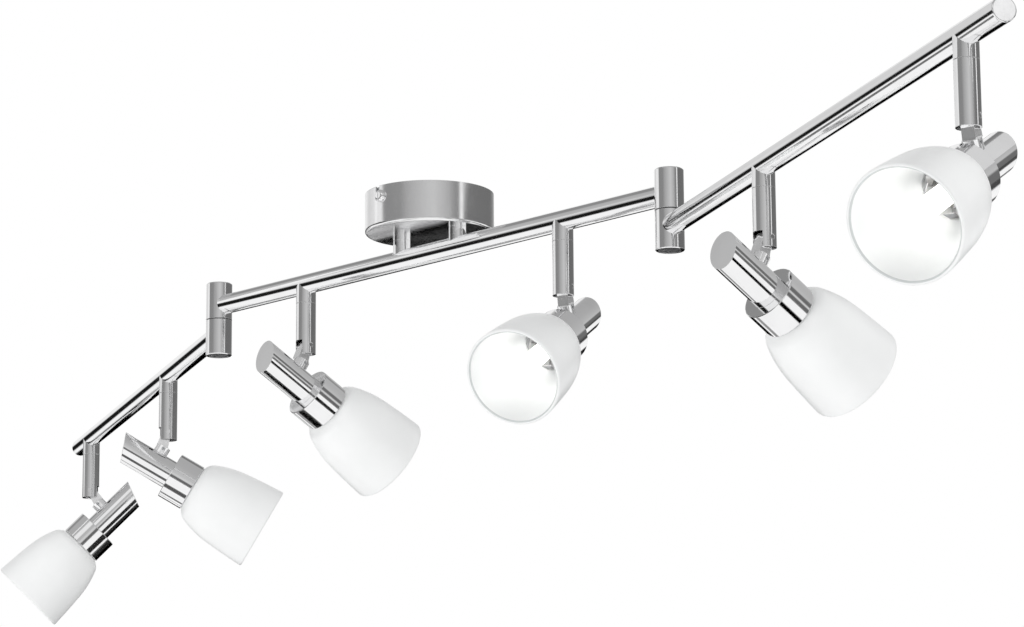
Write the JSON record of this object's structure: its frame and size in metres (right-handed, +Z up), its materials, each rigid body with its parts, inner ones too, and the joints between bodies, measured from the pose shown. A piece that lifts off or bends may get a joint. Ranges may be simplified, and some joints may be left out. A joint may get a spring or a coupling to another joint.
{
  "type": "ceiling spotlight bar",
  "caption": "Ceiling spot bar in satin chrome: a centre bar under a round canopy, two swivelling arms, and panning, tilting spots with opal glass bell shades.",
  "frame": {"origin": "on the ceiling plane, at the centre of the ceiling bracket's top face and of the canopy", "axes": "+Z up into the ceiling, +X along the centre bar from the canopy to the right hub"},
  "size_m": [1.5789, 0.585, 0.2486],
  "materials": {
    "satin_chrome": "satin chrome plate, faintly brushed",
    "polished_chrome": "polished chrome",
    "zinc_steel": "zinc-plated, dull",
    "spring_steel": "bare spring steel",
    "opal_glass": "satin opal white glass",
    "frosted_glass": "frosted",
    "ceramic": "unglazed white ceramic",
    "terminal_plastic": "moulded, satin",
    "black_plastic": "moulded, satin"
  },
  "bodies": {
    "center": {"canopy_cup": "satin_chrome", "ceiling_bracket": "zinc_steel", "canopy_screws": "polished_chrome", "canopy_posts": "satin_chrome", "terminal_block": "terminal_plastic", "center_bar": "satin_chrome", "hub_bolts": "zinc_steel", "swivel_washers": "black_plastic"},
    "left_arm": {"left_arm_bar": "satin_chrome", "left_hub_plug": "black_plastic"},
    "right_arm": {"right_arm_bar": "satin_chrome", "right_hub_plug": "black_plastic"},
    "stem_1": {"stem_1": "satin_chrome", "tilt_screw_1": "polished_chrome"},
    "spot_1": {"knuckle_1": "polished_chrome", "lamp_sleeve_1": "satin_chrome", "glass_shade_1": "opal_glass", "spring_clips_1": "spring_steel", "lamp_socket_1": "ceramic", "bulb_1": "frosted_glass"},
    "stem_2": {"stem_2": "satin_chrome", "tilt_screw_2": "polished_chrome"},
    "spot_2": {"knuckle_2": "polished_chrome", "lamp_sleeve_2": "satin_chrome", "glass_shade_2": "opal_glass", "spring_clips_2": "spring_steel", "lamp_socket_2": "ceramic", "bulb_2": "frosted_glass"},
    "stem_3": {"stem_3": "satin_chrome", "tilt_screw_3": "polished_chrome"},
    "spot_3": {"knuckle_3": "polished_chrome", "lamp_sleeve_3": "satin_chrome", "glass_shade_3": "opal_glass", "spring_clips_3": "spring_steel", "lamp_socket_3": "ceramic", "bulb_3": "frosted_glass"},
    "stem_4": {"stem_4": "satin_chrome", "tilt_screw_4": "polished_chrome"},
    "spot_4": {"knuckle_4": "polished_chrome", "lamp_sleeve_4": "satin_chrome", "glass_shade_4": "opal_glass", "spring_clips_4": "spring_steel", "lamp_socket_4": "ceramic", "bulb_4": "frosted_glass"},
    "stem_5": {"stem_5": "satin_chrome", "tilt_screw_5": "polished_chrome"},
    "spot_5": {"knuckle_5": "polished_chrome", "lamp_sleeve_5": "satin_chrome", "glass_shade_5": "opal_glass", "spring_clips_5": "spring_steel", "lamp_socket_5": "ceramic", "bulb_5": "frosted_glass"},
    "stem_6": {"stem_6": "satin_chrome", "tilt_screw_6": "polished_chrome"},
    "spot_6": {"knuckle_6": "polished_chrome", "lamp_sleeve_6": "satin_chrome", "glass_shade_6": "opal_glass", "spring_clips_6": "spring_steel", "lamp_socket_6": "ceramic", "bulb_6": "frosted_glass"}
  },
  "joints": [
    {"name": "left_arm_swing", "type": "hinge", "parent": "center", "child": "left_arm", "pos_m": [-0.26, 0, -0.0705], "axis": [0, 0, 1], "range_deg": [-64.8, 115.2]},
    {"name": "right_arm_swing", "type": "hinge", "parent": "center", "child": "right_arm", "pos_m": [0.26, 0, -0.0705], "axis": [0, 0, 1], "range_deg": [-64.2, 115.8]},
    {"name": "pan_1", "type": "hinge", "parent": "left_arm", "child": "stem_1", "pos_m": [-0.72752, 0.22, -0.0865], "axis": [0, 0, 1], "range_deg": [-170, 170]},
    {"name": "tilt_1", "type": "hinge", "parent": "stem_1", "child": "spot_1", "pos_m": [-0.72752, 0.22, -0.1213], "axis": [0.729, -0.6845, 0], "range_deg": [-44.8, 45.2]},
    {"name": "pan_2", "type": "hinge", "parent": "left_arm", "child": "stem_2", "pos_m": [-0.42866, 0.07937, -0.0865], "axis": [0, 0, 1], "range_deg": [-170, 170]},
    {"name": "tilt_2", "type": "hinge", "parent": "stem_2", "child": "spot_2", "pos_m": [-0.42866, 0.07937, -0.1213], "axis": [-0.8251, 0.565, 0], "range_deg": [-29.9, 60.1]},
    {"name": "pan_3", "type": "hinge", "parent": "center", "child": "stem_3", "pos_m": [-0.1486, 0, -0.0626], "axis": [0, 0, 1], "range_deg": [-170, 170]},
    {"name": "tilt_3", "type": "hinge", "parent": "stem_3", "child": "spot_3", "pos_m": [-0.1486, 0, -0.0974], "axis": [-0.9925, 0.1219, 0], "range_deg": [-31, 59]},
    {"name": "pan_4", "type": "hinge", "parent": "center", "child": "stem_4", "pos_m": [0.1486, 0, -0.0626], "axis": [0, 0, 1], "range_deg": [-170, 170]},
    {"name": "tilt_4", "type": "hinge", "parent": "stem_4", "child": "spot_4", "pos_m": [0.1486, 0, -0.0974], "axis": [0.9415, 0.3371, 0], "range_deg": [-29.3, 60.7]},
    {"name": "pan_5", "type": "hinge", "parent": "right_arm", "child": "stem_5", "pos_m": [0.42782, -0.08113, -0.0865], "axis": [0, 0, 1], "range_deg": [-170, 170]},
    {"name": "tilt_5", "type": "hinge", "parent": "stem_5", "child": "spot_5", "pos_m": [0.42782, -0.08113, -0.1213], "axis": [-0.9979, 0.0645, 0], "range_deg": [-30, 60]},
    {"name": "pan_6", "type": "hinge", "parent": "right_arm", "child": "stem_6", "pos_m": [0.7252, -0.22488, -0.0865], "axis": [0, 0, 1], "range_deg": [-170, 170]},
    {"name": "tilt_6", "type": "hinge", "parent": "stem_6", "child": "spot_6", "pos_m": [0.7252, -0.22488, -0.1213], "axis": [0.9755, 0.2198, 0], "range_deg": [-28.8, 61.2]}
  ]
}
